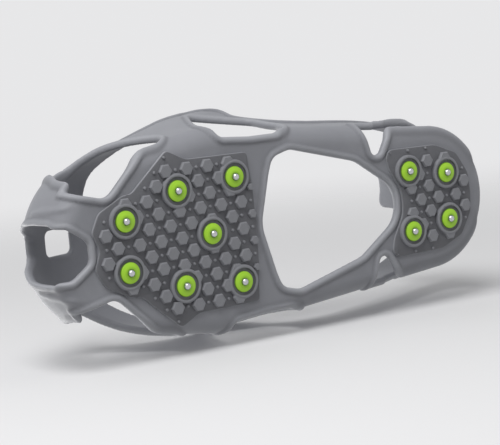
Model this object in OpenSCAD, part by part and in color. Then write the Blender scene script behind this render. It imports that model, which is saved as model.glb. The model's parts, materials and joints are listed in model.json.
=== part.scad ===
// Stretch-on ice cleat for a walking boot: an openwork rubber harness with studded tread pads.
// Millimetres. +X is towards the toe, +Y towards the left side, +Z up, stud tips on Z = 0.

/* [Boot size] */
// Length of the boot at its widest level, heel to toe
boot_length = 294; // [275:1:314]
// Width of the boot at the ball of the foot
ball_width = 112; // [104:1:120]
// Width of the boot at the heel
heel_width = 84; // [78:1:90]
// Height of the toe cap above the footbed
toe_height = 68; // [62:1:74]

/* [Harness] */
// Wall thickness of the moulded harness
wall_t = 3; // [2.4:0.1:3.6]
// Inside radius where the wall turns under the sole
sole_round = 8; // [6:0.5:9]
// Height of the raised bead that edges each opening
bead_h = 1.4; // [0.8:0.1:1.8]
// Width of the edge bead
bead_w = 4; // [3:0.1:4.6]
// Width of the pull tab at the back of the heel
pull_tab_w = 27; // [20:1:32]
// Height of the pull tab above the footbed
pull_tab_top = 92; // [84:1:96]

/* [Tread] */
// Thickness of the raised tread field under the harness
field_t = 1.5; // [1:0.1:2.2]
// Height of the lugs below the tread field
lug_h = 2; // [1.4:0.1:2.4]
// Lug size across its flats
lug_across = 7.5; // [6.6:0.1:7.9]
// Spacing of the lugs along a row
lug_pitch = 13.4; // [12.8:0.1:14.2]
// Spacing of the rows
row_pitch = 7.55; // [7.2:0.05:8.2]
// Diameter of the small dots between the lugs
dot_d = 2.2; // [1.6:0.1:2.6]
// Diameter of the raised ring round each stud
boss_d = 19.4; // [18.6:0.1:20.4]

/* [Studs] */
// Diameter of the coloured stud base
base_d = 12; // [11.4:0.1:12.6]
// How far the stud base's coned foot stands below its ring
base_drop = 0.4; // [0.2:0.1:0.6]
// Diameter of the steel pin
pin_d = 4.2; // [3.6:0.1:4.6]
// How far the pin's tip reaches below the lugs
pin_reach = 2.4; // [1.8:0.1:3.2]
// Diameter of the pin's head, held inside the base
head_d = 9; // [7.5:0.1:9.4]
// Radial clearance of the pin in its base and of the base in its ring
stud_gap = 0.05; // [0.02:0.01:0.1]

/* [Hidden] */
$fn = 40;

// Heights from the ground up
lug_z = pin_reach;
field_z = lug_z + lug_h;
web_z = field_z + field_t;
foot_z = web_z + wall_t;
boss_h = field_t + 1.15 * lug_h;
boss_z = web_z - boss_h;
head_t = 0.35 * boss_h;

// Nominal sizes that the outlines below are drawn at, and the scale from them to this boot
scale_x = boot_length / 294;
scale_y = ball_width / 112;
scale_h = heel_width / 84;
scale_z = toe_height / 68;
reach = 200;
// How far the sole's edge turns up below the side openings
web_lip = 3;
harness_grey = "#9698a0";
tread_grey = "#707278";
base_lime = "#9ad224";
pin_steel = "#c8ccd0";

// Boot form, level by level above the footbed:
// height, toe front, toe radius, ball centre, ball radius, heel back, heel radius
levels = [
    [20, 146.5, 47, 46, 56, -147.5, 42],
    [34, 145.5, 46, 41, 58.5, -147.5, 41.5],
    [46, 139, 43.5, 35, 60, -147, 40],
    [55, 128.5, 38, 26, 60.5, -146, 38.5],
    [62, 114, 30, 14, 61, -144.5, 37],
    [66, 100, 22, 8, 61, -143.5, 36],
    [68, 90, 17, 6, 61, -142.5, 35.5],
    [76, 66, 14, 0, 61, -140.5, 34],
    [100, 20, 12, -10, 52, -136.5, 32]
];
round_steps = [0, 30, 60, 90];

// Each row holds its height, then the centre and radius of the toe, ball and heel circles
function row(height, l, shrink) = [
    height,
    [l[1] * scale_x - l[2] * scale_y, l[2] * scale_y - shrink],
    [l[3] * scale_x, l[4] * scale_y - shrink],
    [l[5] * scale_x + l[6] * scale_h, l[6] * scale_h - shrink]
];
sole_in = 1;
form_rows = concat(
    [for (a = round_steps)
        row(sole_round * (1 - cos(a)), levels[0], sole_in + sole_round * (1 - sin(a)))],
    [for (l = levels) row(l[0] * scale_z, l, 0)]
);
row_count = len(form_rows);
ring_points = 72;

// The form's wall in profile at circle k: how far out it reaches at each row
function wall_reach(i, k) =
    let(c = form_rows[i][k])
    k == 3 ? c[1] - c[0] : k == 2 ? c[1] : c[0] + c[1];
function wall_normal(i, k) =
    i == 0 ? [0, -1] :
    let(
        low = i - 1,
        high = min(i + 1, row_count - 1),
        out = wall_reach(high, k) - wall_reach(low, k),
        up = form_rows[high][0] - form_rows[low][0],
        size = norm([out, up])
    )
    [up / size, -out / size];

// One point of a level's outline: the circle that reaches furthest along the heading a
function ring_point(i, a, grow) =
    let(
        spans = [for (k = [1:3])
            let(n = wall_normal(i, k), c = form_rows[i][k])
            [c[0], c[1] + grow * n[0], form_rows[i][0] + grow * n[1]]],
        reaches = [for (s = spans) s[0] * cos(a) + s[1]],
        best = search(max(reaches), reaches)[0],
        s = spans[best]
    )
    [s[0] + s[1] * cos(a), s[1] * sin(a), foot_z + s[2]];

// Boot-shaped solid that is larger than the boot by grow on every side
module boot_form(grow) {
    step = 360 / ring_points;
    last = row_count - 1;
    wall = [for (i = [0:last]) for (j = [0:ring_points - 1]) ring_point(i, (j + 0.5) * step, grow)];
    caps = [[0, 0, wall[0][2]], [0, 0, wall[len(wall) - 1][2]]];
    bottom = len(wall);
    top = bottom + 1;
    function at(i, j) = i * ring_points + j % ring_points;
    function leaning(i, j) = [
        [at(i, j), at(i + 1, j), at(i + 1, j + 1)],
        [at(i, j), at(i + 1, j + 1), at(i, j + 1)]
    ];
    function mirrored(i, j) = [
        [at(i, j), at(i + 1, j), at(i, j + 1)],
        [at(i + 1, j), at(i + 1, j + 1), at(i, j + 1)]
    ];
    half = ring_points / 2;
    sides = [for (i = [0:last - 1]) for (j = [0:ring_points - 1])
        each j < half ? leaning(i, j) : mirrored(i, j)];
    ends = [for (j = [0:ring_points - 1]) each [
        [bottom, at(0, j), at(0, j + 1)],
        [top, at(last, j + 1), at(last, j)]
    ]];
    polyhedron(concat(wall, caps), concat(sides, ends));
}

// A side-view outline (x, height above the footbed) carried across the whole width
module across() {
    translate([0, reach, foot_z])
        rotate([90, 0, 0])
            linear_extrude(2 * reach)
                scale([scale_x, scale_z])
                    children();
}

// A front-view outline (y, height above the footbed) carried forward from x_back
module forward(x_back) {
    translate([x_back, 0, foot_z])
        rotate([90, 0, 90])
            linear_extrude(reach)
                scale([scale_y, scale_z])
                    children();
}

// A plan outline (x, y) carried up through the given heights
module upward(low, high) {
    translate([0, 0, low])
        linear_extrude(high - low)
            scale([scale_x, scale_y])
                children();
}

// A rounded outline drawn tight round a set of discs, each [x, y, radius], all larger by grow
module round_outline(discs, grow = 0) {
    hull()
        for (d = discs)
            translate([d[0], d[1]])
                circle(d[2] + grow, $fn = 32);
}

function both(discs, flip) = concat(discs, [for (d = discs) [flip[0] * d[0], flip[1] * d[1], d[2]]]);
left_right = [1, -1];
side_side = [-1, 1];

// Corner discs of the side openings, in side view
toe_side = [
    [80, web_lip + 9, 9], [100, 38, 8], [110, 45, 8], [116, 44, 8], [125.5, 18, 6],
    [126, web_lip + 5, 5]
];
mid_side = [[39, web_lip + 5, 6], [27, 38, 6], [1, 30, 6], [-3, 14, 6], [-3, web_lip + 4, 5]];
heel_side = [
    [-136.5, web_lip + 4, 5], [-136.5, 24, 6], [-130.5, 27, 6], [-104, 13, 5],
    [-78, web_lip + 3, 4]
];

// Corner discs of the toe's front opening, seen from the front
toe_front = both([[12, 8, 4], [11, 33, 4], [3, 48, 5]], side_side);

// Corner discs of the openings seen in plan: the slot on top, the arch, under the toe the notch
// between the straps and the corner left open on each side of the pad, the sole's edge below the
// middle side opening, and the gap before the heel pad
toe_slot = both([[107, 4, 3.5], [119, 4, 3.5]], left_right);
arch = both([[1.5, 1, 15], [0, 30, 8.5], [-6, 31, 9], [-46, 16, 13], [-62, 1, 16]], left_right);
toe_notch = both([[133, 3, 5], [141, 10, 4], [170, 12, 4]], left_right);
toe_corner = [
    [117, 36, 8], [131, 40, 7], [142, 43, 7], [102, 49, 6], [92, 58, 6], [144, 80, 6], [92, 80, 6]
];
mid_edge = [[36, 57, 5], [3, 55.5, 5], [36, 80, 5], [3, 80, 5]];
heel_gap = [[-67, 34, 4], [-63, 54, 5], [-77, 54, 5]];

// The tongue behind the toe bridge in plan, and the pull tab above the heel seen from behind
tongue = both([[90, 10, 5], [110, 10, 5]], left_right);
tab_round = 6;
tab_half = pull_tab_w / scale_y / 2 - tab_round;
tab_top = pull_tab_top / scale_z - tab_round;
pull_tab = both([[tab_half, tab_top, tab_round], [tab_half + 2, 50, tab_round]], side_side);

// Everything below the upper rim, with the wing tab standing on it
module below_rim_outline(shrink = 0) {
    soft = 4;
    offset(r = soft - shrink)
        offset(delta = -2 * soft)
            offset(r = soft)
                polygon([
                    [-180, -60], [-180, 70], [-146, 68], [-124, 58], [-96, 44], [-66, 33], [-40, 27],
                    [-20, 31], [-9, 42], [-5, 66], [20, 69], [34, 56], [58, 53], [80, 56], [93, 60],
                    [97, 110], [180, 110], [180, -60]
                ]);
}

module rim_zone() {
    difference() {
        square(2 * reach, center = true);
        below_rim_outline(bead_w);
    }
}

// Ribs along the heel straps and down the toe straps, laid on the wall
module strap_ribs() {
    across()
        for (rise = [0, 5, 10])
            round_outline([[-128, 38 + rise, 0.9], [-88, 15 + rise, 0.9]]);
    forward(112 * scale_x)
        for (side = [-1, 1])
            round_outline([[25 * side, 0, 1], [22 * side, 26, 1]]);
}

module kept_wall() {
    across()
        below_rim_outline();
    upward(foot_z + 40 * scale_z, reach)
        round_outline(tongue);
    rotate([0, 0, 180])
        forward(100 * scale_x)
            round_outline(pull_tab);
}

// The openings, or with grow the raised edges round them
module openings(grow = 0) {
    across() {
        round_outline(toe_side, grow);
        round_outline(mid_side, grow);
        round_outline(heel_side, grow);
    }
    forward(100 * scale_x)
        round_outline(toe_front, grow);
    upward(foot_z + 45 * scale_z, reach)
        round_outline(toe_slot, grow);
    upward(0, foot_z + 2 * web_lip) {
        round_outline(arch, grow);
        round_outline(toe_notch, grow);
        for (side = [0, 1])
            mirror([0, side]) {
                round_outline(toe_corner, grow);
                round_outline(mid_edge, grow);
                round_outline(heel_gap, grow);
            }
    }
}

module harness() {
    difference() {
        intersection() {
            union() {
                boot_form(wall_t);
                intersection() {
                    boot_form(wall_t + bead_h);
                    union() {
                        openings(bead_w);
                        across()
                            rim_zone();
                    }
                }
                intersection() {
                    boot_form(wall_t + 0.7 * bead_h);
                    strap_ribs();
                }
            }
            kept_wall();
        }
        boot_form(0);
        openings();
    }
}

// Where the harness is divided: the waist bends, the forefoot and heel sections keep their shape
waist_front = 28 * scale_x;
waist_back = -36 * scale_x;
pad_back = 7 * scale_x;
pad_top = foot_z + 12 * scale_z;

module zone(x_low, x_high, z_low) {
    translate([x_low, -reach, z_low])
        cube([x_high - x_low, 2 * reach, reach]);
}

module harness_forefoot() {
    color(harness_grey)
        intersection() {
            harness();
            union() {
                zone(waist_front, reach, 0);
                zone(pad_back, reach, pad_top - reach);
            }
        }
}

module harness_waist(side) {
    color(harness_grey)
        intersection() {
            harness();
            union() {
                zone(waist_back, pad_back, 0);
                zone(waist_back, waist_front, pad_top);
            }
            translate([-reach, side > 0 ? 0 : -reach, 0])
                cube([2 * reach, reach, reach]);
        }
}

module harness_heel() {
    color(harness_grey)
        intersection() {
            harness();
            zone(-reach, waist_back, 0);
        }
}

module harness_waist_left() {
    harness_waist(1);
}

module harness_waist_right() {
    harness_waist(-1);
}

// Stud places: seven under the forefoot and four under the heel
forefoot_studs = [[106, 14], [106, -14], [72, 26.3], [72, -26.3], [52, 0], [34.5, 29.6], [34.5, -29.6]];
heel_studs = [[-88, 18], [-88, -18], [-116, 14], [-116, -14]];
function place(p, y_scale) = [p[0] * scale_x, p[1] * y_scale];
fore_places = [for (p = forefoot_studs) place(p, scale_y)];
heel_places = [for (p = heel_studs) place(p, scale_h)];
stud_places = concat(fore_places, heel_places);

// Edges of the two raised tread fields, from the centre line round the left side
fore_edge = [
    [122, 0], [126, 10], [121, 20], [105, 28], [100, 28], [76, 49], [64, 42.8], [24, 42.4],
    [22, 20], [21.5, 0]
];
heel_edge = [
    [-83, 0], [-82, 8], [-75, 20], [-73, 28], [-76, 32], [-110, 31.5], [-126, 25], [-134, 12],
    [-135, 0]
];
function scaled(points, y_scale) = [for (p = points) place(p, y_scale)];
fore_field = scaled(fore_edge, scale_y);
heel_field = scaled(heel_edge, scale_h);

// Whether p lies in a field: an odd number of its edge runs pass beyond p
function inside(p, field) = len([
    for (k = [1:len(field) - 1])
        let(a = field[k - 1], b = field[k])
        if ((a[0] > p[0]) != (b[0] > p[0]) &&
            a[1] + (b[1] - a[1]) * (p[0] - a[0]) / (b[0] - a[0]) > abs(p[1])) k
]) % 2 == 1;

// How much of its full radius a peg at p has room for, up to the field's edge
function segment_gap(p, a, b) =
    let(run = b - a, share = max(0, min(1, (p - a) * run / (run * run))))
    norm(p - a - share * run);
function edge_gap(p, field) =
    min([for (k = [1:len(field) - 1]) segment_gap([p[0], abs(p[1])], field[k - 1], field[k])]);
function room(p, field, r) =
    inside(p, field) ? min(1, (edge_gap(p, field) - edge_room) / r) : 0;

// Places on the tread grid, each with its share of the full radius: lugs where the row and column
// counts add up even, dots where they add up odd
function clear_of(p, studs, margin) = min([for (s = studs) norm(p - s)]) > boss_d / 2 + margin;
function grid(field, studs, r, ring_margin, odd) =
    let(
        xs = [for (p = field) p[0]],
        ys = [for (p = field) p[1]],
        step = lug_pitch / 2,
        first = studs[0][0] - lug_start,
        rows = floor(max(ys) / row_pitch)
    )
    [
        for (i = [ceil((min(xs) - first) / step):floor((max(xs) - first) / step)])
            for (j = [-rows:rows])
                let(p = [first + i * step, j * row_pitch], share = room(p, field, r))
                if (abs(i + j) % 2 == odd && share > least_share && clear_of(p, studs, ring_margin))
                    [p, share]
    ];
lug_r = lug_across / 2 / cos(30);
dot_r = dot_d / 2;
// Room between a peg and the field's edge, the smallest share that is made, and how far lugs run
// into a stud ring
edge_room = 0.4;
least_share = 0.35;
lug_run_in = 2.2;
// How far the lug grid starts behind the first stud of its field
lug_start = 7.8;

// Pegs in plan, a hair larger so that they come out as one clean outline
module pattern(places, r, sides) {
    hair = 0.01;
    offset(delta = hair)
        for (p = places)
            translate(p[0])
                circle(p[1] * r, $fn = sides);
}

module field_outline(field) {
    offset(r = 1.5)
        offset(delta = -1.5)
            polygon(concat(field, [for (k = [len(field) - 2:-1:1]) [field[k][0], -field[k][1]]]));
}

// A tread field with its lugs and dots, and a bored ring at each stud
module tread_pad(field, studs) {
    chamfer = 0.8;
    mouth_d = base_d + 3.4;
    mouth_t = 0.3 * boss_h;
    color(tread_grey)
        difference() {
            union() {
                translate([0, 0, field_z])
                    linear_extrude(field_t)
                        field_outline(field);
                translate([0, 0, lug_z])
                    linear_extrude(lug_h)
                        pattern(grid(field, studs, lug_across / 2, -lug_run_in, 0), lug_r, 6);
                translate([0, 0, lug_z + lug_h / 2])
                    linear_extrude(lug_h / 2)
                        pattern(grid(field, studs, dot_r, dot_r + edge_room, 1), dot_r, 8);
                for (s = studs)
                    translate([s[0], s[1], boss_z]) {
                        cylinder(h = chamfer, d1 = boss_d - 2 * chamfer, d2 = boss_d);
                        translate([0, 0, chamfer])
                            cylinder(h = boss_h - chamfer, d = boss_d);
                    }
            }
            for (s = studs)
                translate([s[0], s[1], 0]) {
                    cylinder(h = web_z + 1, d = base_d + 2 * stud_gap);
                    cylinder(h = boss_z + mouth_t, d = mouth_d);
                }
        }
}

module forefoot_tread() {
    tread_pad(fore_field, fore_places);
}

module heel_tread() {
    tread_pad(heel_field, heel_places);
}

// Coloured stud base: a plug in the ring with a coned foot round the pin
module stud_base(i) {
    tip_r = pin_d / 2 + 1.2;
    bore_r = pin_d / 2 + stud_gap;
    seat_r = head_d / 2 + stud_gap;
    shoulder = 0.4;
    color(base_lime)
        translate(stud_places[i])
            rotate_extrude()
                polygon([
                    [bore_r, boss_z - base_drop], [tip_r, boss_z - base_drop],
                    [base_d / 2 - shoulder, boss_z + shoulder / 2],
                    [base_d / 2, boss_z + 1.5 * shoulder], [base_d / 2, web_z], [seat_r, web_z],
                    [seat_r, web_z - head_t], [bore_r, web_z - head_t]
                ]);
}

// Steel stud: flat head under the web, plain shank and a domed tip with a flat end
module stud_pin(i) {
    r = pin_d / 2;
    flat = 30;
    color(pin_steel)
        translate(stud_places[i])
            rotate_extrude()
                polygon(concat(
                    [[0, 0]],
                    [for (a = [flat:15:90]) [r * sin(a), r * (cos(flat) - cos(a))]],
                    [[r, web_z - head_t], [head_d / 2, web_z - head_t], [head_d / 2, web_z], [0, web_z]]
                ));
}

stud_count = len(stud_places);
BASES = [for (i = [1:stud_count]) str("stud_base_", i)];
PINS = [for (i = [1:stud_count]) str("stud_pin_", i)];

harness_forefoot();
harness_waist_left();
harness_waist_right();
harness_heel();
forefoot_tread();
heel_tread();
for (i = [0:stud_count - 1]) {
    stud_base(i);
    stud_pin(i);
}
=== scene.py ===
import json
import math

import bmesh
import bpy
import numpy as np
from mathutils import Matrix, Vector


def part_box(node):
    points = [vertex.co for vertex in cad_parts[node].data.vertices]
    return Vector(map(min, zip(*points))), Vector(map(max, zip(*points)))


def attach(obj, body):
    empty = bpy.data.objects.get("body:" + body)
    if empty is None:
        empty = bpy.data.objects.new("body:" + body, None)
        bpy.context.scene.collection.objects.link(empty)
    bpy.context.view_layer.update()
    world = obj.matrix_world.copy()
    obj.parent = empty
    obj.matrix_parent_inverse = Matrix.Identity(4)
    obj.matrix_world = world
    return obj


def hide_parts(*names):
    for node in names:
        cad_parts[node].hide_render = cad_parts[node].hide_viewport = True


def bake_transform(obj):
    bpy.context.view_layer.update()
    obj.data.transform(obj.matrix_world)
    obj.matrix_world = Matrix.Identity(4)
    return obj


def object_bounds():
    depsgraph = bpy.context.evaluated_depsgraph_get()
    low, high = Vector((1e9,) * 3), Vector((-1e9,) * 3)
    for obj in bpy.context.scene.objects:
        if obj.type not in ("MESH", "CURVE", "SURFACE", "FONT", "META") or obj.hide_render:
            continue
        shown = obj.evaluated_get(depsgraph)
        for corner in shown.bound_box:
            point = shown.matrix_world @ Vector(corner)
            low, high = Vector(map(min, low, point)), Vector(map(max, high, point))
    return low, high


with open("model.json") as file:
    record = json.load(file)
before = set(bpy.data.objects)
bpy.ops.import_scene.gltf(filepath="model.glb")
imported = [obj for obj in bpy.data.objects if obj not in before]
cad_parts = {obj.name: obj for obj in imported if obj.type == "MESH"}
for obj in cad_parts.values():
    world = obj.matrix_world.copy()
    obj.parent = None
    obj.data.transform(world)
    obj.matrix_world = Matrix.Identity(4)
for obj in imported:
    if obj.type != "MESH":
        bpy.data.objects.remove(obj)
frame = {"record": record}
cad_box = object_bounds()

# Lengths are in millimetres, as in the solids, and MM turns them into metres
MM = 0.001

# Heights up from the stud tips: under the foot, under the web, tread field and stud rings
FOOT_Z = 8.9
WEB_Z = 5.9
FIELD_Z = 4.4
BOSS_Z = 2.1

# Harness wall, its raised edges and its fine ribs
WALL_T = 3.0
SOLE_ROUND = 8.0
EDGE_SOFT = 1.6
BEAD_H = 1.4
BEAD_W = 4.0
BEAD_CREST = 0.45
BEAD_FULL = 0.6
RIB_H = 0.98
RIB_HALF = 1.2
TOE_RIB_HALF = 1.6

# Tread fields, lugs and dots
FIELD_STEP = 0.6
FIELD_SOFT = 2.5
LUG_ACROSS = 7.5
LUG_H = 2.0
LUG_SIDES = 6
LUG_PITCH = 13.4
ROW_PITCH = 7.55
LUG_START = 7.8
LUG_RUN_IN = 2.2
DOT_D = 2.2
DOT_SIDES = 10
PEG_CHAMFER = 0.6
PEG_DRAFT = 0.95
PEG_SEED = 7
EDGE_ROOM = 0.4
LEAST_SHARE = 0.35
SINK = 0.3

# Stud rings, coloured bases and steel pins
BOSS_D = 19.4
MOUTH_D = 15.4
MOUTH_DEEP = 1.2
BASE_D = 12.0
BASE_DROP = 0.4
BASE_FLAT = 1.2
FIT = 0.05
PIN_D = 4.2
PIN_FLAT_DEG = 30
PIN_STEP_DEG = 6
PIN_HEAD_D = 9.0
PIN_HEAD_T = 1.33

# Form inside the harness, level by level up from the footbed:
# height, toe front, toe radius, ball centre, ball radius, heel back, heel radius
FORM_LEVELS = np.array([
    (8, 145.5, 46, 46, 55, -146.5, 41),
    (20, 146.5, 47, 46, 56, -147.5, 42),
    (34, 145.5, 46, 41, 58.5, -147.5, 41.5),
    (46, 139, 43.5, 35, 60, -147, 40),
    (55, 128.5, 38, 26, 60.5, -146, 38.5),
    (62, 114, 30, 14, 61, -144.5, 37),
    (66, 100, 22, 8, 61, -143.5, 36),
    (68, 90, 17, 6, 61, -142.5, 35.5),
    (76, 66, 14, 0, 61, -140.5, 34),
    (100, 20, 12, -10, 52, -136.5, 32),
], float)

# Openings, each an outline drawn tight round discs of (place, place, radius)
TOE_SIDE = [(80, 12, 9), (100, 38, 8), (110, 45, 8), (116, 44, 8), (125.5, 18, 6), (126, 8, 5)]
MID_SIDE = [(39, 8, 6), (27, 38, 6), (1, 30, 6), (-3, 14, 6), (-3, 7, 5)]
HEEL_SIDE = [(-136.5, 7, 5), (-136.5, 24, 6), (-130.5, 27, 6), (-104, 13, 5), (-78, 6, 4)]
TOE_FRONT = [(12, 8, 4), (11, 33, 4), (3, 48, 5)]
TOE_SLOT = [(107, 4, 3.5), (119, 4, 3.5)]
ARCH = [(1.5, 1, 15), (0, 30, 8.5), (-6, 31, 9), (-46, 16, 13), (-62, 1, 16)]
TOE_NOTCH = [(133, 3, 5), (141, 10, 4), (170, 12, 4)]
TOE_CORNER = [
    (117, 36, 8), (131, 40, 7), (142, 43, 7), (102, 49, 6), (92, 58, 6), (144, 80, 6), (92, 80, 6),
]
HEEL_GAP = [(-67, 34, 4), (-63, 54, 5), (-77, 54, 5)]
MID_EDGE = [(36, 57, 5), (3, 55.5, 5), (36, 80, 5), (3, 80, 5)]

# Tabs, drawn in the same way
TONGUE = [(90, 10, 5), (110, 10, 5)]
PULL_TAB = [(7.5, 86, 6), (9.5, 50, 6)]

# Middle lines of the ribs along the heel straps and down the toe straps
HEEL_RIBS = [[(-128, 38 + rise, 0), (-88, 15 + rise, 0)] for rise in (0, 5, 10)]
TOE_RIB = [(25, 0, 0), (22, 26, 0)]
TOE_RIB_X = 112

# Upper rim in side view, from the heel to the toe bridge, closed below the sole
RIM = [
    (-180, -60), (-180, 70), (-146, 68), (-124, 58), (-96, 44), (-66, 33), (-40, 27),
    (-20, 31), (-9, 42), (-5, 66), (20, 69), (34, 56), (58, 53), (80, 56), (93, 60),
    (97, 110), (180, 110), (180, -60),
]
RIM_SOFT = 7.0

# Edges of the tread fields in plan, from the centre line round the left side
FORE_EDGE = [
    (122, 0), (126, 10), (121, 20), (105, 28), (100, 28),
    (76, 49), (64, 42.8), (24, 42.4), (22, 20), (21.5, 0),
]
HEEL_EDGE = [
    (-83, 0), (-82, 8), (-75, 20), (-73, 28), (-76, 32),
    (-110, 31.5), (-126, 25), (-134, 12), (-135, 0),
]


def mirrored(points, across):
    """Points with their mirror images, across the axis with that index."""
    flip = [1.0, 1.0, 1.0]
    flip[across] = -1.0
    return points + [tuple(v * f for v, f in zip(p, flip)) for p in points]


# Inner form

MOST_LEAN = 0.95


def form_circles(h):
    """Toe, ball and heel circles of the form at heights h, on curves through the levels."""
    heights, columns = FORM_LEVELS[:, 0], FORM_LEVELS[:, 1:]
    slopes = np.gradient(columns, heights, axis=0)
    h = np.clip(h, heights[0], heights[-1])
    low = np.clip(np.searchsorted(heights, h, side="right") - 1, 0, len(heights) - 2)
    span = heights[low + 1] - heights[low]
    t = (h - heights[low]) / span
    start, end = 2 * t**3 - 3 * t**2 + 1, 3 * t**2 - 2 * t**3
    leave, arrive = (t**3 - 2 * t**2 + t) * span, (t**3 - t**2) * span
    toe_x, toe_r, ball_x, ball_r, heel_x, heel_r = (
        start * columns[low, k] + end * columns[low + 1, k]
        + leave * slopes[low, k] + arrive * slopes[low + 1, k]
        for k in range(columns.shape[1])
    )
    return (toe_x - toe_r, toe_r), (ball_x, ball_r), (heel_x + heel_r, heel_r)


def between_circles(x, y, front, back):
    """Distance outside the outline round two circles on the centre line."""
    length = front[0] - back[0]
    lean = np.clip((front[1] - back[1]) / length, -MOST_LEAN, MOST_LEAN)
    level = np.sqrt(1 - lean**2)
    along, across = front[0] - x, np.abs(y)
    part = level * along - lean * across
    side = level * across + lean * along - front[1]
    at_front = np.hypot(along, across) - front[1]
    at_back = np.hypot(along - length, across) - back[1]
    return np.where(part < 0, at_front, np.where(part > level * length, at_back, side))


def form_wall(x, y, h):
    """Distance outside the form's wall, level by level."""
    toe, ball, heel = form_circles(h)
    return np.minimum(between_circles(x, y, toe, ball), between_circles(x, y, ball, heel))


def form_distance(x, y, h):
    """Distance outside the form, whose wall turns into its sole by a round edge."""
    wall = form_wall(x, y, h)
    lean = (form_wall(x, y, h + 1) - form_wall(x, y, h - 1)) / 2
    out = wall / np.sqrt(1 + lean**2) + SOLE_ROUND
    down = SOLE_ROUND - h
    corner = np.hypot(np.maximum(out, 0), np.maximum(down, 0))
    return np.minimum(np.maximum(out, down), 0) + corner - SOLE_ROUND


# Outlines and edges

OUTLINE_STEPS = 72
CURVE_STEPS = 5
LEAST_RUN = 1e-9


def outside(u, v, discs):
    """Distance outside the outline drawn tight round discs of (u, v, radius)."""
    discs = np.array(discs, float)
    reach = -np.inf
    for turn in np.arange(OUTLINE_STEPS) * 2 * math.pi / OUTLINE_STEPS:
        c, s = math.cos(turn), math.sin(turn)
        edge = (discs[:, 0] * c + discs[:, 1] * s + discs[:, 2]).max()
        reach = np.maximum(reach, u * c + v * s - edge)
    return reach


def softened(corners, soft):
    """A closed line whose corners are drawn as curves that start soft before each corner."""
    corners = [np.array(c, float) for c in corners]
    befores, afters = corners[-1:] + corners[:-1], corners[1:] + corners[:1]
    line = []
    for before, corner, after in zip(befores, corners, afters):
        ends = []
        for other in (before, after):
            run = other - corner
            length = np.hypot(*run)
            ends.append(corner + run * min(soft, length / 2) / length)
        for t in np.linspace(0, 1, CURVE_STEPS):
            line.append((1 - t)**2 * ends[0] + 2 * t * (1 - t) * corner + t**2 * ends[1])
    return np.array(line)


def outside_line(u, v, line):
    """Distance outside a closed line."""
    nearest, within = np.inf, False
    for a, b in zip(line, np.roll(line, -1, axis=0)):
        run = b - a
        size = max(run @ run, LEAST_RUN)
        du, dv = u - a[0], v - a[1]
        t = np.clip((du * run[0] + dv * run[1]) / size, 0, 1)
        nearest = np.minimum(nearest, (du - t * run[0])**2 + (dv - t * run[1])**2)
        if a[1] != b[1]:
            crosses = ((a[1] > v) != (b[1] > v)) & (du < dv * run[0] / run[1])
            within = within ^ crosses
    return np.where(within, -1, 1) * np.sqrt(nearest)


def soft_max(a, b, soft):
    """The larger of two values, with a round change of width soft between them."""
    share = np.clip(0.5 + 0.5 * (a - b) / soft, 0, 1)
    return b + (a - b) * share + soft * share * (1 - share)


def soft_min(a, b, soft):
    """The smaller of two values, in the same way."""
    return -soft_max(-a, -b, soft)


# Harness: an elastic shell on the form, with openings and raised round edges

RIM_LINE = softened(RIM, RIM_SOFT)
TAB_X = -100
TOE_X = 100
TONGUE_H = 40
SLOT_H = 45
SOLE_TOP_H = 6
TAB_JOIN_SOFT = 5.0
SIDE_SOFT = 1.0
SOLE_SOFT = 2.0


def edge_distance(x, y, h):
    """How far inside its own edges the harness is: below zero in an opening or above the rim."""
    kept = -outside_line(x, h, RIM_LINE)
    tongue = np.minimum(-outside(x, y, mirrored(TONGUE, 1)), h - TONGUE_H)
    tab = np.minimum(-outside(y, h, mirrored(PULL_TAB, 0)), TAB_X - x)
    inside = soft_max(soft_max(kept, tongue, TAB_JOIN_SOFT), tab, TAB_JOIN_SOFT)
    for discs in (TOE_SIDE, MID_SIDE, HEEL_SIDE):
        inside = soft_min(inside, outside(x, h, discs), SIDE_SOFT)
    front = np.maximum(outside(y, h, mirrored(TOE_FRONT, 0)), TOE_X - x)
    slot = np.maximum(outside(x, y, mirrored(TOE_SLOT, 1)), SLOT_H - h)
    inside = soft_min(soft_min(inside, front, SIDE_SOFT), slot, SIDE_SOFT)
    middle = [outside(x, y, mirrored(discs, 1)) for discs in (ARCH, TOE_NOTCH)]
    sides = [outside(x, np.abs(y), discs) for discs in (TOE_CORNER, HEEL_GAP, MID_EDGE)]
    for opening in middle + sides:
        inside = soft_min(inside, soft_max(opening, h - SOLE_TOP_H, SOLE_SOFT), SOLE_SOFT)
    return inside


def ribs(x, y, h):
    """Height of the fine ribs along the heel straps and down the toe straps."""
    rise = 0.0
    for line in HEEL_RIBS:
        rise = rise + np.exp(-(outside(x, h, line) / RIB_HALF)**4)
    toe = np.exp(-(outside(np.abs(y), h, TOE_RIB) / TOE_RIB_HALF)**2) * (x > TOE_RIB_X)
    return RIB_H * (rise + toe)


def harness_field(x, y, z):
    """Below zero inside the harness wall."""
    h = z - FOOT_Z
    out = form_distance(x, y, h)
    inside = edge_distance(x, y, h)
    across_bead = (inside - BEAD_CREST * BEAD_W) / ((1 - BEAD_CREST) * BEAD_W)
    bead = BEAD_H * np.clip(1 - across_bead**2, 0, 1)**BEAD_FULL
    wall = soft_max(out - WALL_T - bead - ribs(x, y, h), -out, EDGE_SOFT)
    return soft_max(wall, -inside, EDGE_SOFT)


# Surface of a field

CELL_CORNERS = np.array([(i, j, k) for i in (0, 1) for j in (0, 1) for k in (0, 1)])
CELL_EDGES = [(a, b) for a in range(8) for b in range(a + 1, 8)
              if np.abs(CELL_CORNERS[a] - CELL_CORNERS[b]).sum() == 1]
RING_OF_CELLS = ((1, 1), (0, 1), (0, 0), (1, 0))
SETTLE_ROUNDS = 2
NUDGE = 0.05
LEAST_SLOPE = 0.1


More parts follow.
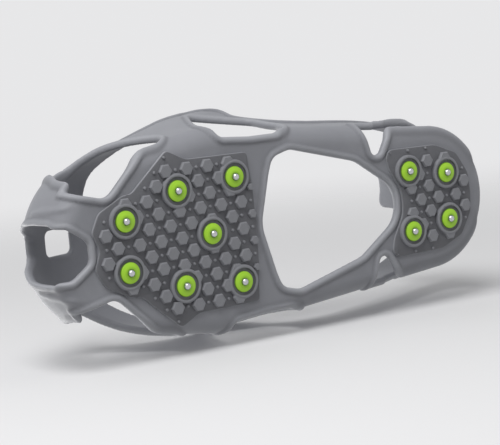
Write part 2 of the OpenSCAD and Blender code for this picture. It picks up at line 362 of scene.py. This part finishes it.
def settled(points, field, step):
    """Points moved down the field's slope onto its zero surface."""
    for _ in range(SETTLE_ROUNDS):
        here = field(*points.T)
        slope = np.stack([field(*(points + NUDGE * unit).T) - here for unit in np.eye(3)], axis=1)
        slope = slope / NUDGE
        move = here[:, None] * slope / np.maximum((slope**2).sum(1), LEAST_SLOPE)[:, None]
        points = points - np.clip(move, -step / 2, step / 2)
    return points


def surface_quads(solid, number):
    """Quads round the grid edges that the surface crosses, from the numbers of the cells."""
    shape = number.shape
    quads = []
    for axis in range(3):
        first, second = (axis + 1) % 3, (axis + 2) % 3
        change = np.diff(solid.astype(np.int8), axis=axis)
        spots = np.argwhere(change != 0)
        keep = (spots[:, first] > 0) & (spots[:, second] > 0)
        keep &= (spots[:, first] < shape[first]) & (spots[:, second] < shape[second])
        spots = spots[keep]
        turn = change[tuple(spots.T)] < 0
        ring = []
        for back in RING_OF_CELLS:
            cell = spots.copy()
            cell[:, first] -= back[0]
            cell[:, second] -= back[1]
            ring.append(number[tuple(cell.T)])
        ring = np.stack(ring, axis=1)
        quads.append(np.where(turn[:, None], ring, ring[:, ::-1]))
    return np.concatenate(quads)


def field_surface(field, low, high, step):
    """Vertices and quads of a field's zero surface, one vertex in each grid cell it crosses."""
    axes = [np.arange(a, b + step, step) for a, b in zip(low, high)]
    values = field(axes[0][:, None, None], axes[1][None, :, None], axes[2][None, None, :])
    solid = values < 0
    shape = np.array(values.shape) - 1
    count = sum(
        solid[i:i + shape[0], j:j + shape[1], k:k + shape[2]].astype(np.int8)
        for i, j, k in CELL_CORNERS
    )
    cells = np.argwhere((count > 0) & (count < len(CELL_CORNERS)))
    number = np.full(shape, -1)
    number[tuple(cells.T)] = np.arange(len(cells))
    corner = np.stack([values[tuple((cells + c).T)] for c in CELL_CORNERS], axis=1)
    total, hits = np.zeros((len(cells), 3)), np.zeros((len(cells), 1))
    for a, b in CELL_EDGES:
        va, vb = corner[:, a], corner[:, b]
        cross = ((va < 0) != (vb < 0))[:, None]
        t = np.divide(va, va - vb, out=np.zeros_like(va), where=cross[:, 0])[:, None]
        total += cross * (CELL_CORNERS[a] + t * (CELL_CORNERS[b] - CELL_CORNERS[a]))
        hits += cross
    points = np.array([a[0] for a in axes]) + step * (cells + total / hits)
    return settled(points, field, step), surface_quads(solid, number)


# Mesh helpers

TURN_STEPS = 48
TURN_MERGE = 0.002


def new_piece(name, mesh, finish):
    """An object at the origin, with its place in its mesh and one finish."""
    piece = bpy.data.objects.new(name, mesh)
    bpy.context.scene.collection.objects.link(piece)
    mesh.materials.clear()
    mesh.materials.append(finish)
    return piece


def point_values(mesh, name, values):
    """Give a mesh one named value for each point."""
    attribute = mesh.attributes.new(name, "FLOAT", "POINT")
    attribute.data.foreach_set("value", np.asarray(values, np.float32))


def mesh_points(mesh):
    """The points of a mesh as rows of x, y and z."""
    points = np.zeros(len(mesh.vertices) * 3)
    mesh.vertices.foreach_get("co", points)
    return points.reshape(-1, 3)


def distance_from(points, centre):
    """Distance in plan of each point from a centre."""
    return np.hypot(*(points[:, :2] - np.array(centre)).T)


def shade(mesh, sharp_deg):
    """Smooth shading that breaks at edges sharper than an angle."""
    mesh.shade_smooth()
    mesh.set_sharp_from_angle(angle=math.radians(sharp_deg))


def mesh_from(bm, name):
    """A mesh made from a bmesh, which is then freed."""
    mesh = bpy.data.meshes.new(name)
    bm.to_mesh(mesh)
    bm.free()
    return mesh


def turned(profile, centre, closed):
    """A profile of (radius, z) turned round the upright axis through a centre."""
    bm = bmesh.new()
    places = [((centre[0] + r) * MM, centre[1] * MM, z * MM) for r, z in profile]
    corners = [bm.verts.new(place) for place in places]
    pairs = list(zip(corners, corners[1:] + corners[:1]))
    line = [bm.edges.new(pair) for pair in (pairs if closed else pairs[:-1])]
    bmesh.ops.spin(
        bm, geom=corners + line, cent=(centre[0] * MM, centre[1] * MM, 0), axis=(0, 0, 1),
        angle=2 * math.pi, steps=TURN_STEPS, use_duplicate=False,
    )
    bmesh.ops.remove_doubles(bm, verts=bm.verts[:], dist=TURN_MERGE * MM)
    bmesh.ops.recalc_face_normals(bm, faces=bm.faces[:])
    return mesh_from(bm, "turned")


def joined(name, meshes):
    """One mesh of several, each still its own shell."""
    bm = bmesh.new()
    for mesh in meshes:
        bm.from_mesh(mesh)
    return mesh_from(bm, name)


# Node trees

class Value:
    """A number in a node tree. Sums on it add Math nodes."""

    def __init__(self, tree, output):
        self.tree = tree
        self.output = output

    def math(self, operation, first, second, clamp=False):
        settings = {"operation": operation, "use_clamp": clamp}
        return self.tree.node("ShaderNodeMath", settings, {0: first, 1: second}).value(0)

    def __add__(self, other):
        return self.math("ADD", self, other)

    def __radd__(self, other):
        return self.math("ADD", other, self)

    def __sub__(self, other):
        return self.math("SUBTRACT", self, other)

    def __rsub__(self, other):
        return self.math("SUBTRACT", other, self)

    def __mul__(self, other):
        return self.math("MULTIPLY", self, other)

    def __rmul__(self, other):
        return self.math("MULTIPLY", other, self)

    def __truediv__(self, other):
        return self.math("DIVIDE", self, other)

    def __rtruediv__(self, other):
        return self.math("DIVIDE", other, self)

    def clamped(self):
        return self.math("ADD", self, 0.0, clamp=True)


class Made:
    """A node that was just made, with its outputs as values."""

    def __init__(self, tree, node):
        self.tree = tree
        self.node = node

    def value(self, key=0):
        return Value(self.tree, self.node.outputs[key])


class NodeTree:
    """A node tree under construction."""

    def __init__(self, tree):
        self.tree = tree

    def feed(self, socket, value):
        """Link a value, or each value in a list, to a socket, or set the socket's own value."""
        if isinstance(value, list):
            for item in value:
                self.feed(socket, item)
        elif isinstance(value, Value):
            self.tree.links.new(value.output, socket)
        else:
            socket.default_value = value

    def node(self, kind, settings=None, sockets=None):
        node = self.tree.nodes.new(kind)
        for name, value in (settings or {}).items():
            setattr(node, name, value)
        for key, value in (sockets or {}).items():
            self.feed(node.inputs[key], value)
        return Made(self, node)

    def mix(self, share, first, second):
        node = self.node("ShaderNodeMix", {"data_type": "RGBA"}, {0: share, 6: first, 7: second})
        return node.value(2)


class Finish(NodeTree):
    """A material round one Principled shader."""

    def __init__(self, name, **constants):
        self.material = bpy.data.materials.new(name)
        self.material.use_nodes = True
        super().__init__(self.material.node_tree)
        self.shader = self.tree.nodes["Principled BSDF"]
        for socket, value in constants.items():
            self.shader.inputs[socket.replace("_", " ")].default_value = value
        self.place = self.node("ShaderNodeTexCoord").value("Object")

    def noise(self, scale, detail=2.0, rough=0.5):
        sockets = {"Vector": self.place, "Scale": scale, "Detail": detail, "Roughness": rough}
        return self.node("ShaderNodeTexNoise", None, sockets).value("Fac")

    def attribute(self, name):
        return self.node("ShaderNodeAttribute", {"attribute_name": name}).value("Fac")

    def height(self):
        return self.node("ShaderNodeSeparateXYZ", None, {0: self.place}).value("Z")

    def bump(self, height, strength, distance):
        sockets = {"Height": height, "Strength": strength, "Distance": distance}
        return self.node("ShaderNodeBump", None, sockets).value("Normal")

    def dress(self, **sockets):
        for socket, value in sockets.items():
            self.feed(self.shader.inputs[socket.replace("_", " ")], value)
        return self.material


# Finishes

RUBBER_SHEEN = 0.4


def harness_rubber():
    """Grey matt rubber: painted highlight on its edges, painted shade in the groove by each bead.
    """
    finish = Finish("harness_rubber", Specular_IOR_Level=RUBBER_SHEEN)
    dark, light = (0.225, 0.230, 0.252, 1), (0.295, 0.301, 0.328, 1)
    highlight_and_tone, groove_shade = (0.40, 0.408, 0.438, 1), (0.13, 0.133, 0.146, 1)
    mottle = finish.noise(scale=38.0, detail=4.0, rough=0.6)
    cloud = finish.noise(scale=11.0)
    grain = finish.noise(scale=1500.0, detail=3.0, rough=0.7)
    edge = finish.attribute("edge")
    crease = finish.attribute("crease")
    colour = finish.mix(mottle, dark, light)
    # Painted highlight: paler along the edges, as if lit there; the cloud noise adds paler tone at
    # random
    highlight_and_cloud = (edge * 0.5 + (cloud - 0.5) * 0.3).clamped()
    colour = finish.mix(highlight_and_cloud, colour, highlight_and_tone)
    # Painted shade: darker in the crease beside each bead, where shadow falls
    colour = finish.mix((crease * 0.45).clamped(), colour, groove_shade)
    return finish.dress(
        Base_Color=colour,
        Roughness=0.50 + 0.16 * grain - 0.08 * edge,
        Normal=finish.bump(grain * 0.7 + mottle * 0.5, strength=0.30, distance=0.00020),
    )


def tread_rubber():
    """Darker rubber, lug tops paler as wear and painted light, field step a painted highlight."""
    finish = Finish("tread_rubber", Specular_IOR_Level=RUBBER_SHEEN)
    dark, light = (0.110, 0.112, 0.122, 1), (0.155, 0.158, 0.172, 1)
    lug_top_wear_and_light, field_step_highlight = (0.270, 0.275, 0.297, 1), (0.360, 0.367, 0.395, 1)
    recess_shade = (0.105, 0.107, 0.113, 1)
    mottle = finish.noise(scale=60.0, detail=4.0, rough=0.6)
    grain = finish.noise(scale=1700.0, detail=3.0, rough=0.7)
    height = finish.height() / MM
    proud = ((FIELD_Z - height) / (LUG_H / 2)).clamped()
    step = ((height - FIELD_Z) / FIELD_STEP).clamped()
    recess = finish.attribute("recess")
    colour = finish.mix(mottle, dark, light)
    # Lug and dot tops paler: partly wear, partly painted highlight against a shaded field
    colour = finish.mix((proud * 0.7).clamped(), colour, lug_top_wear_and_light)
    # Painted highlight: paler on the step round each field, as if lit
    colour = finish.mix((step * 0.8).clamped(), colour, field_step_highlight)
    # Painted shade: darker in the mouth of each stud ring
    colour = finish.mix((recess * 0.8).clamped(), colour, recess_shade)
    return finish.dress(
        Base_Color=colour,
        Roughness=0.55 + 0.18 * grain - 0.1 * proud,
        Normal=finish.bump(grain * 0.7 + mottle * 0.4, strength=0.30, distance=0.00020),
    )


def lime_plastic():
    """Satin lime plastic, darker with painted shade round the pin and at the rim."""
    finish = Finish("lime_plastic", Coat_Weight=0.15, Coat_Roughness=0.3)
    deep, bright = (0.345, 0.670, 0.022, 1), (0.430, 0.765, 0.036, 1)
    shade_round_pin, shade_at_rim = (0.150, 0.360, 0.008, 1), (0.130, 0.300, 0.010, 1)
    mottle = finish.noise(scale=240.0, detail=3.0)
    scuff = finish.noise(scale=900.0, detail=4.0, rough=0.7)
    out = finish.attribute("out")
    pin_shade_end, rim_shade_start = 0.66, 0.93
    colour = finish.mix(mottle, deep, bright)
    # Painted shade: darker round the pin, where its shadow falls
    colour = finish.mix(((pin_shade_end - out) * 2.0).clamped(), colour, shade_round_pin)
    # Painted shade: darker at the rim
    colour = finish.mix(((out - rim_shade_start) * 12.0).clamped(), colour, shade_at_rim)
    return finish.dress(
        Base_Color=colour,
        Roughness=0.30 + 0.22 * scuff,
        Normal=finish.bump(scuff, strength=0.20, distance=0.00012),
    )


def stud_steel():
    """Bright steel with fine scuffs and a little tarnish."""
    finish = Finish("stud_steel")
    dull, clean = (0.46, 0.465, 0.48, 1), (0.62, 0.625, 0.64, 1)
    scuff = finish.noise(scale=1300.0, detail=4.0, rough=0.7)
    tarnish = finish.noise(scale=420.0, detail=3.0)
    return finish.dress(
        Base_Color=finish.mix(tarnish, dull, clean),
        Metallic=0.94 + 0.06 * tarnish,
        Roughness=0.14 + 0.20 * scuff,
        Normal=finish.bump(scuff, strength=0.15, distance=0.00008),
    )


HARNESS_FINISH = harness_rubber()
TREAD_FINISH = tread_rubber()
LIME_FINISH = lime_plastic()
STEEL_FINISH = stud_steel()

# Harness piece

HARNESS_STEP = 1.13
GRID_ROOM = 3
# Widths of the painted highlight along the edges and of the painted shade in the crease
HIGHLIGHT_W = 2.5
CREASE_W = 0.8
FACE_FADE = 1.0


def harness_piece():
    """The whole harness as one skin, with edges and grooves marked for painted highlight and
    shade.
    """
    reach = [abs(v) / MM + GRID_ROOM for v in (cad_box[0][0], cad_box[0][1])]
    bottom, top = WEB_Z - WALL_T - GRID_ROOM, cad_box[1][2] / MM + GRID_ROOM
    points, quads = field_surface(
        harness_field, (-reach[0], -reach[1], bottom), (reach[0], reach[1], top), HARNESS_STEP,
    )
    points = np.clip(points, np.array(cad_box[0]) / MM, np.array(cad_box[1]) / MM)
    mesh = bpy.data.meshes.new("harness")
    mesh.from_pydata((points * MM).tolist(), [], quads.tolist())
    mesh.shade_smooth()
    x, y, h = points[:, 0], points[:, 1], points[:, 2] - FOOT_Z
    inside = edge_distance(x, y, h)
    outer_face = np.clip((form_distance(x, y, h) - WALL_T) / FACE_FADE + 1, 0, 1)
    # edge places the painted highlight and crease the painted shade, both on the outer face only
    point_values(mesh, "edge", outer_face * np.exp(-(np.maximum(inside, 0) / HIGHLIGHT_W)**2))
    point_values(mesh, "crease", outer_face * np.exp(-((inside - BEAD_W) / CREASE_W)**2))
    return new_piece("harness", mesh, HARNESS_FINISH)


# Tread pads: a field with a stepped edge, lugs and dots on a grid, and a ring round each stud

PEG_INPUTS = {
    "Lug Radius": LUG_ACROSS / 2 / math.cos(math.pi / LUG_SIDES) * MM,
    "Lug Height": (LUG_H + SINK) * MM,
    "Dot Radius": DOT_D / 2 * MM,
    "Dot Height": (LUG_H / 2 + SINK) * MM,
    "Chamfer": PEG_CHAMFER * MM,
    "Height Spread": 0.04,
}
PEG_MERGE = 0.005


def new_group(name, inputs, output):
    """A geometry node group with named inputs and one geometry output."""
    group = bpy.data.node_groups.new(name, "GeometryNodeTree")
    for label, kind in inputs.items():
        group.interface.new_socket(label, in_out="INPUT", socket_type="NodeSocket" + kind)
    group.interface.new_socket(output, in_out="OUTPUT", socket_type="NodeSocketGeometry")
    return group


def peg_tree():
    """A moulded peg that stands up from the origin, with draft and a chamfered top."""
    inputs = {"Sides": "Int", "Radius": "Float", "Height": "Float", "Chamfer": "Float"}
    group = new_group("moulded_peg", inputs, "Peg")
    tree = NodeTree(group)
    given = tree.node("NodeGroupInput")
    radius, height, chamfer = (given.value(key) for key in ("Radius", "Height", "Chamfer"))
    foot = tree.node(
        "GeometryNodeMeshCircle", {"fill_type": "NGON"},
        {"Vertices": given.value("Sides"), "Radius": radius},
    ).value(0)
    up = (0.0, 0.0, 1.0)
    body = tree.node(
        "GeometryNodeExtrudeMesh", None,
        {"Mesh": foot, "Offset": up, "Offset Scale": height - chamfer, "Individual": False},
    )
    drafted = tree.node(
        "GeometryNodeScaleElements", None,
        {"Geometry": body.value("Mesh"), "Selection": body.value("Top"), "Scale": PEG_DRAFT},
    ).value(0)
    crown = tree.node(
        "GeometryNodeExtrudeMesh", None,
        {"Mesh": drafted, "Selection": body.value("Top"), "Offset": up, "Offset Scale": chamfer,
         "Individual": False},
    )
    chamfered = tree.node(
        "GeometryNodeScaleElements", None,
        {"Geometry": crown.value("Mesh"), "Selection": crown.value("Top"),
         "Scale": 1 - chamfer / radius},
    ).value(0)
    under = tree.node("GeometryNodeFlipFaces", None, {"Mesh": foot}).value(0)
    shell = tree.node("GeometryNodeJoinGeometry", None, {0: [under, chamfered]}).value(0)
    closed = tree.node(
        "GeometryNodeMergeByDistance", None, {"Geometry": shell, "Distance": PEG_MERGE * MM},
    ).value(0)
    tree.node("NodeGroupOutput", None, {"Peg": closed})
    return group


def pegs_tree():
    """Lugs and dots that hang from a mesh's points, dots where the point's dot value is 1."""
    inputs = {"Points": "Geometry", **dict.fromkeys(PEG_INPUTS, "Float"), "Seed": "Int"}
    group = new_group("tread_pegs", {**inputs, "Finish": "Material"}, "Pegs")
    tree = NodeTree(group)
    given = tree.node("NodeGroupInput")
    peg = peg_tree()
    number = {"data_type": "FLOAT"}
    is_dot, share = (
        tree.node("GeometryNodeInputNamedAttribute", number, {"Name": name}).value("Attribute")
        for name in ("dot", "share")
    )
    spread = given.value("Height Spread")
    stretch = tree.node(
        "FunctionNodeRandomValue", number,
        {2: 1 - spread, 3: 1 + spread, "Seed": given.value("Seed")},
    ).value(1)
    size = tree.node("ShaderNodeCombineXYZ", None, {"X": share, "Y": share, "Z": stretch}).value(0)
    placed = []
    for kind, sides, here in (("Lug", LUG_SIDES, 1 - is_dot), ("Dot", DOT_SIDES, is_dot)):
        shape = tree.node(
            "GeometryNodeGroup", {"node_tree": peg},
            {"Sides": sides, "Radius": given.value(f"{kind} Radius"),
             "Height": given.value(f"{kind} Height"), "Chamfer": given.value("Chamfer")},
        ).value(0)
        placed.append(tree.node(
            "GeometryNodeInstanceOnPoints", None,
            {"Points": given.value("Points"), "Selection": here, "Instance": shape,
             "Rotation": (math.pi, 0.0, 0.0), "Scale": size},
        ).value(0))
    both = tree.node("GeometryNodeJoinGeometry", None, {0: placed}).value(0)
    real = tree.node("GeometryNodeRealizeInstances", None, {"Geometry": both}).value(0)
    done = tree.node(
        "GeometryNodeSetMaterial", None, {"Geometry": real, "Material": given.value("Finish")},
    ).value(0)
    tree.node("NodeGroupOutput", None, {"Pegs": done})
    return group


PEGS = pegs_tree()
RING_GRIP = 1
LEAST_AWAY = 0.01


def grid_places(edge, studs, radius, ring_margin, odd):
    """Places on the tread grid and the share of its radius that a peg has room for there."""
    step = LUG_PITCH / 2
    first = studs[0][0] - LUG_START
    first_column = math.ceil((edge[:, 0].min() - first) / step)
    last_column = math.floor((edge[:, 0].max() - first) / step)
    last_row = math.floor(edge[:, 1].max() / ROW_PITCH)
    columns, rows = np.arange(first_column, last_column + 1), np.arange(-last_row, last_row + 1)
    i, j = (a.ravel() for a in np.meshgrid(columns, rows, indexing="ij"))
    x, y = first + i * step, j * ROW_PITCH
    away = np.min([np.hypot(x - s[0], y - s[1]) for s in studs], axis=0)
    clear = away > BOSS_D / 2 + ring_margin
    share = np.minimum(1, (-outside_line(x, y, edge) - EDGE_ROOM) / radius)
    keep = ((i + j) % 2 == odd) & clear & (share > LEAST_SHARE)
    return np.stack([x, y, share], axis=1)[keep]


def pushed_clear(mesh, studs):
    """Draw the pegs that run into a stud ring back into the ring's wall."""
    points = mesh_points(mesh) / MM
    wall = BOSS_D / 2 - RING_GRIP
    for stud in studs:
        away = np.maximum(distance_from(points, stud), LEAST_AWAY)[:, None]
        points[:, :2] += (points[:, :2] - np.array(stud)) * np.maximum(wall / away - 1, 0)
    mesh.vertices.foreach_set("co", (points * MM).ravel())


def pegs_mesh(name, edge, studs):
    """All lugs and dots of one tread field."""
    lugs = grid_places(edge, studs, LUG_ACROSS / 2, ring_margin=-LUG_RUN_IN, odd=0)
    dots = grid_places(edge, studs, DOT_D / 2, ring_margin=DOT_D / 2 + EDGE_ROOM, odd=1)
    places = np.concatenate([lugs, dots])
    points = np.column_stack([places[:, :2], np.full(len(places), FIELD_Z + SINK)]) * MM
    mesh = bpy.data.meshes.new(name + "_places")
    mesh.from_pydata(points.tolist(), [], [])
    point_values(mesh, "dot", [0] * len(lugs) + [1] * len(dots))
    point_values(mesh, "share", places[:, 2])
    holder = bpy.data.objects.new(name + "_places", mesh)
    bpy.context.scene.collection.objects.link(holder)
    modifier = holder.modifiers.new("pegs", "NODES")
    modifier.node_group = PEGS
    values = {**PEG_INPUTS, "Seed": PEG_SEED, "Finish": TREAD_FINISH}
    for item in PEGS.interface.items_tree:
        if item.in_out == "INPUT" and item.name in values:
            modifier[item.identifier] = values[item.name]
    bpy.context.view_layer.update()
    whole = holder.evaluated_get(bpy.context.evaluated_depsgraph_get())
    pegs = bpy.data.meshes.new_from_object(whole)
    holder.modifiers.remove(modifier)
    bpy.data.objects.remove(holder)
    pushed_clear(pegs, studs)
    return pegs


# Rounded edges as steps out from a radius and up from a height
RING_EDGE = [(0, 1.0), (-0.25, 0.35), (-0.8, 0)]
MOUTH_EDGE = [(0.5, 0), (0.1, 0.2), (0, 0.5)]
BORE_EDGE = [(0, 0.15), (0.15, 0)]
FLAT_EDGE = [(-0.2, 0), (0.1, 0.12)]
BASE_EDGE = [(-0.7, 0.12), (-0.3, 0.26), (-FIT, 0.6)]

TREAD_SHARP_DEG = 35
STUD_SHARP_DEG = 40
RECESS_FADE = 0.2
LEVEL_SLACK = 0.01


def rounded(radius, z, steps):
    """Points of a rounded edge at a radius and a height."""
    return [(radius + out, z + up) for out, up in steps]


def field_plate(line):
    """The raised field, with a chamfered lower edge."""
    bm = bmesh.new()
    corners = [bm.verts.new((u * MM, v * MM, (WEB_Z + SINK) * MM)) for u, v in line]
    top = bm.faces.new(corners)
    grown = bmesh.ops.extrude_face_region(bm, geom=[top])
    lower = [v for v in grown["geom"] if isinstance(v, bmesh.types.BMVert)]
    bmesh.ops.translate(bm, verts=lower, vec=(0, 0, (FIELD_Z - WEB_Z - SINK) * MM))
    bm.verts.ensure_lookup_table()
    level = (FIELD_Z + LEVEL_SLACK) * MM
    rim = [e for e in bm.edges if all(v.co.z < level for v in e.verts)]
    bmesh.ops.bevel(
        bm, geom=rim, offset=FIELD_STEP * MM, segments=2, profile=0.5, affect="EDGES",
        clamp_overlap=True,
    )
    bmesh.ops.recalc_face_normals(bm, faces=bm.faces[:])
    return mesh_from(bm, "field_plate")


def stud_ring(centre):
    """A bored ring with a rounded edge and a stepped mouth, which holds one stud base."""
    outer, mouth, bore = BOSS_D / 2, MOUTH_D / 2, BASE_D / 2
    deep = BOSS_Z + MOUTH_DEEP
    profile = [(outer, WEB_Z)] + rounded(outer, BOSS_Z, RING_EDGE)
    profile += rounded(mouth, BOSS_Z, MOUTH_EDGE) + [(mouth, deep), (bore, deep), (bore, WEB_Z)]
    return turned(profile, centre, closed=True)


def tread_piece(name, edge, studs):
    """One tread pad: its field, lugs, dots and stud rings."""
    edge = np.array(edge + [(x, -y) for x, y in edge[-2:0:-1]], float)
    parts = [field_plate(softened(edge, FIELD_SOFT)), pegs_mesh(name, edge, studs)]
    mesh = joined(name, parts + [stud_ring(s) for s in studs])
    shade(mesh, TREAD_SHARP_DEG)
    points = mesh_points(mesh) / MM
    away = np.min([distance_from(points, s) for s in studs], axis=0)
    # Marks the mouth of each stud ring for the finish's painted shade
    recess = (MOUTH_D / 2 + RECESS_FADE - away) / RECESS_FADE
    point_values(mesh, "recess", np.clip(recess, 0, 1))
    return new_piece(name + "_rubber", mesh, TREAD_FINISH)


# Studs: a coloured base and a steel pin at each place

def stud_places(nodes):
    """Middles of nodes in plan."""
    places = []
    for node in nodes:
        low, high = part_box(node)
        places.append(((low.x + high.x) / 2 / MM, (low.y + high.y) / 2 / MM))
    return places


def stud_base(name, centre):
    """A lime plug with a low crown, bored for its pin."""
    bore, flat, rim = PIN_D / 2 + FIT, PIN_D / 2 + BASE_FLAT, BASE_D / 2
    low = BOSS_Z - BASE_DROP
    profile = rounded(bore, low, BORE_EDGE) + rounded(flat, low, FLAT_EDGE)
    profile += rounded(rim, BOSS_Z, BASE_EDGE) + [(rim - FIT, WEB_Z), (bore, WEB_Z)]
    mesh = turned(profile, centre, closed=True)
    shade(mesh, STUD_SHARP_DEG)
    # out places the painted shade round the pin and at the rim
    point_values(mesh, "out", distance_from(mesh_points(mesh) / MM, centre) / rim)
    return new_piece(name, mesh, LIME_FINISH)


def stud_pin(name, centre):
    """A steel pin with a domed tip and a flat head inside the pad."""
    shank, head = PIN_D / 2, PIN_HEAD_D / 2
    turns = np.radians(np.arange(PIN_FLAT_DEG, 90 + 1, PIN_STEP_DEG))
    dome = list(zip(shank * np.sin(turns), shank * (math.cos(turns[0]) - np.cos(turns))))
    under_head = WEB_Z - PIN_HEAD_T
    profile = [(0, 0)] + dome
    profile += [(shank, under_head), (head, under_head), (head, WEB_Z), (0, WEB_Z)]
    mesh = turned(profile, centre, closed=False)
    shade(mesh, STUD_SHARP_DEG)
    return new_piece(name, mesh, STEEL_FINISH)


# Pieces: the harness, then each tread pad and its studs on their body

harness = harness_piece()
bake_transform(harness)
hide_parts("harness_forefoot", "harness_waist_left", "harness_waist_right", "harness_heel")

PADS = (("forefoot", "forefoot_tread", FORE_EDGE), ("heel", "heel_tread", HEEL_EDGE))
for body, tread, edge in PADS:
    nodes = frame["record"]["behaviour"]["bodies"][body]
    bases = [n for n in nodes if n.startswith("stud_base")]
    pins = [n for n in nodes if n.startswith("stud_pin")]
    places = stud_places(pins)
    dressed = [(tread_piece(tread, edge, places), tread, "tread")]
    for base, pin, place in zip(bases, pins, places):
        dressed.append((stud_base(base + "_plug", place), base, "stud_base"))
        dressed.append((stud_pin(pin + "_steel", place), pin, "stud_pin"))
    for piece, node, slot in dressed:
        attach(piece, body)
        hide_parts(node)

# Floor, backdrop and light, in metres

PALE = (0.80, 0.80, 0.81, 1)
PALE_SPECK = tuple(0.99 * c for c in PALE[:3]) + (1,)
SPECK_SCALE = 6.0
FLOOR_HALF = 3.0
FADE_START = 0.2
FADE_END = 1.1
SIDE_GAP = 0.0005
HARD_STEP = 1e6


def seen_only_from_front(name, past_floor):
    """A pale matt surface that only the camera meets, on its front side, fading far away.

    With past_floor it is seen only below the floor, or through it.
    """
    material = bpy.data.materials.new(name)
    material.use_nodes = True
    tree = NodeTree(material.node_tree)
    tree.tree.nodes.clear()
    path = tree.node("ShaderNodeLightPath")
    camera = path.value("Is Camera Ray")
    front = 1 - tree.node("ShaderNodeNewGeometry").value("Backfacing")
    place = tree.node("ShaderNodeTexCoord").value("Object")
    if past_floor:
        below = 0 - tree.node("ShaderNodeSeparateXYZ", None, {0: place}).value("Z") * HARD_STEP
        front = front * (below.clamped() + path.value("Transparent Depth")).clamped()
    sockets = {"Vector": place, "Scale": SPECK_SCALE}
    speck = tree.node("ShaderNodeTexNoise", None, sockets).value("Fac")
    colour = tree.mix(speck, PALE, PALE_SPECK)
    away = tree.node("ShaderNodeVectorMath", {"operation": "LENGTH"}, {0: place}).value("Value")
    near = ((FADE_END - away) / (FADE_END - FADE_START)).clamped()
    shown = camera * front * (near * near * (3 - 2 * near))
    matt = tree.node("ShaderNodeBsdfDiffuse", None, {"Color": colour}).value(0)
    clear = tree.node("ShaderNodeBsdfTransparent").value(0)
    surface = tree.node("ShaderNodeMixShader", None, {0: shown, 1: clear, 2: matt}).value(0)
    tree.node("ShaderNodeOutputMaterial", None, {"Surface": surface})
    return material


def stage_plane(name, corners, past_floor):
    """A flat surface of the stage, which isn't part of the cleat."""
    mesh = bpy.data.meshes.new(name)
    mesh.from_pydata(corners, [], [(0, 1, 2, 3)])
    plane = new_piece(name, mesh, seen_only_from_front("pale_" + name, past_floor))


def studio_world(ambient):
    """A pale backdrop for the camera and reflections, and even light on the cleat."""
    world = bpy.data.worlds.new("studio")
    bpy.context.scene.world = world
    world.use_nodes = True
    tree = NodeTree(world.node_tree)
    tree.tree.nodes.clear()
    path = tree.node("ShaderNodeLightPath")
    camera, glossy, through = (
        path.value(f"Is {kind} Ray") for kind in ("Camera", "Glossy", "Transmission")
    )
    seen = (camera + glossy + through).clamped()
    sockets = {"Color": PALE, "Strength": 1.0}
    backdrop = tree.node("ShaderNodeBackground", None, sockets).value(0)
    sockets = {"Color": (1, 1, 1, 1), "Strength": ambient}
    light = tree.node("ShaderNodeBackground", None, sockets).value(0)
    shown = tree.node("ShaderNodeMixShader", None, {0: seen, 1: light, 2: backdrop}).value(0)
    tree.node("ShaderNodeOutputWorld", None, {"Surface": shown})


def soft_lamp(name, place, size, power):
    """A round lamp that points at the origin."""
    lamp = bpy.data.lights.new(name, "AREA")
    lamp.shape = "DISK"
    lamp.size = size
    lamp.energy = power
    holder = bpy.data.objects.new(name, lamp)
    bpy.context.scene.collection.objects.link(holder)
    holder.location = place
    holder.rotation_euler = (-Vector(place)).to_track_quat("-Z", "Y").to_euler()


side_y = cad_box[0][1] - SIDE_GAP
stage_plane("floor", [
    (-FLOOR_HALF, -FLOOR_HALF, 0), (FLOOR_HALF, -FLOOR_HALF, 0),
    (FLOOR_HALF, FLOOR_HALF, 0), (-FLOOR_HALF, FLOOR_HALF, 0),
], past_floor=False)
stage_plane("side_floor", [
    (-FLOOR_HALF, side_y, -FLOOR_HALF), (-FLOOR_HALF, side_y, FLOOR_HALF),
    (FLOOR_HALF, side_y, FLOOR_HALF), (FLOOR_HALF, side_y, -FLOOR_HALF),
], past_floor=True)
studio_world(ambient=0.45)
soft_lamp("key_lamp", place=(0.55, 1.05, -0.35), size=0.9, power=11.0)
soft_lamp("top_lamp", place=(0.25, -0.45, 1.15), size=0.9, power=9.0)

# Camera at the photograph's viewing angle, framed on the whole cleat

CAMERA_PLACE = Vector((0.575, 0.115, -0.852))
CAMERA_UP = Vector((-0.115, 0.993, 0.014))
IMAGE_W, IMAGE_H = 500, 445
FRAME_FILL = 0.92
SENSOR = 36.0
AIM_ROUNDS = 4


def photo_camera(points):
    """A camera at the photograph's place, turned and zoomed so that the points fill the frame."""
    points = np.asarray(points) - np.array(CAMERA_PLACE)
    aim = Vector(points.mean(0))
    for _ in range(AIM_ROUNDS):
        ahead = aim.normalized()
        right = ahead.cross(CAMERA_UP).normalized()
        up = right.cross(ahead)
        depth = points @ np.array(ahead)
        u, v = points @ np.array(right) / depth, points @ np.array(up) / depth
        aim = ahead + right * (u.max() + u.min()) / 2 + up * (v.max() + v.min()) / 2
    half = max(np.ptp(u) / IMAGE_W, np.ptp(v) / IMAGE_H) * IMAGE_W / 2 / FRAME_FILL
    camera = bpy.data.cameras.new("camera")
    camera.sensor_width = SENSOR
    camera.lens = SENSOR / 2 / half
    holder = bpy.data.objects.new("camera", camera)
    bpy.context.scene.collection.objects.link(holder)
    turn = Matrix((right, up, -ahead)).transposed()
    holder.matrix_world = Matrix.Translation(CAMERA_PLACE) @ turn.to_4x4()
    bpy.context.scene.camera = holder


photo_camera(mesh_points(harness.data))
bpy.context.scene.view_settings.view_transform = "Standard"
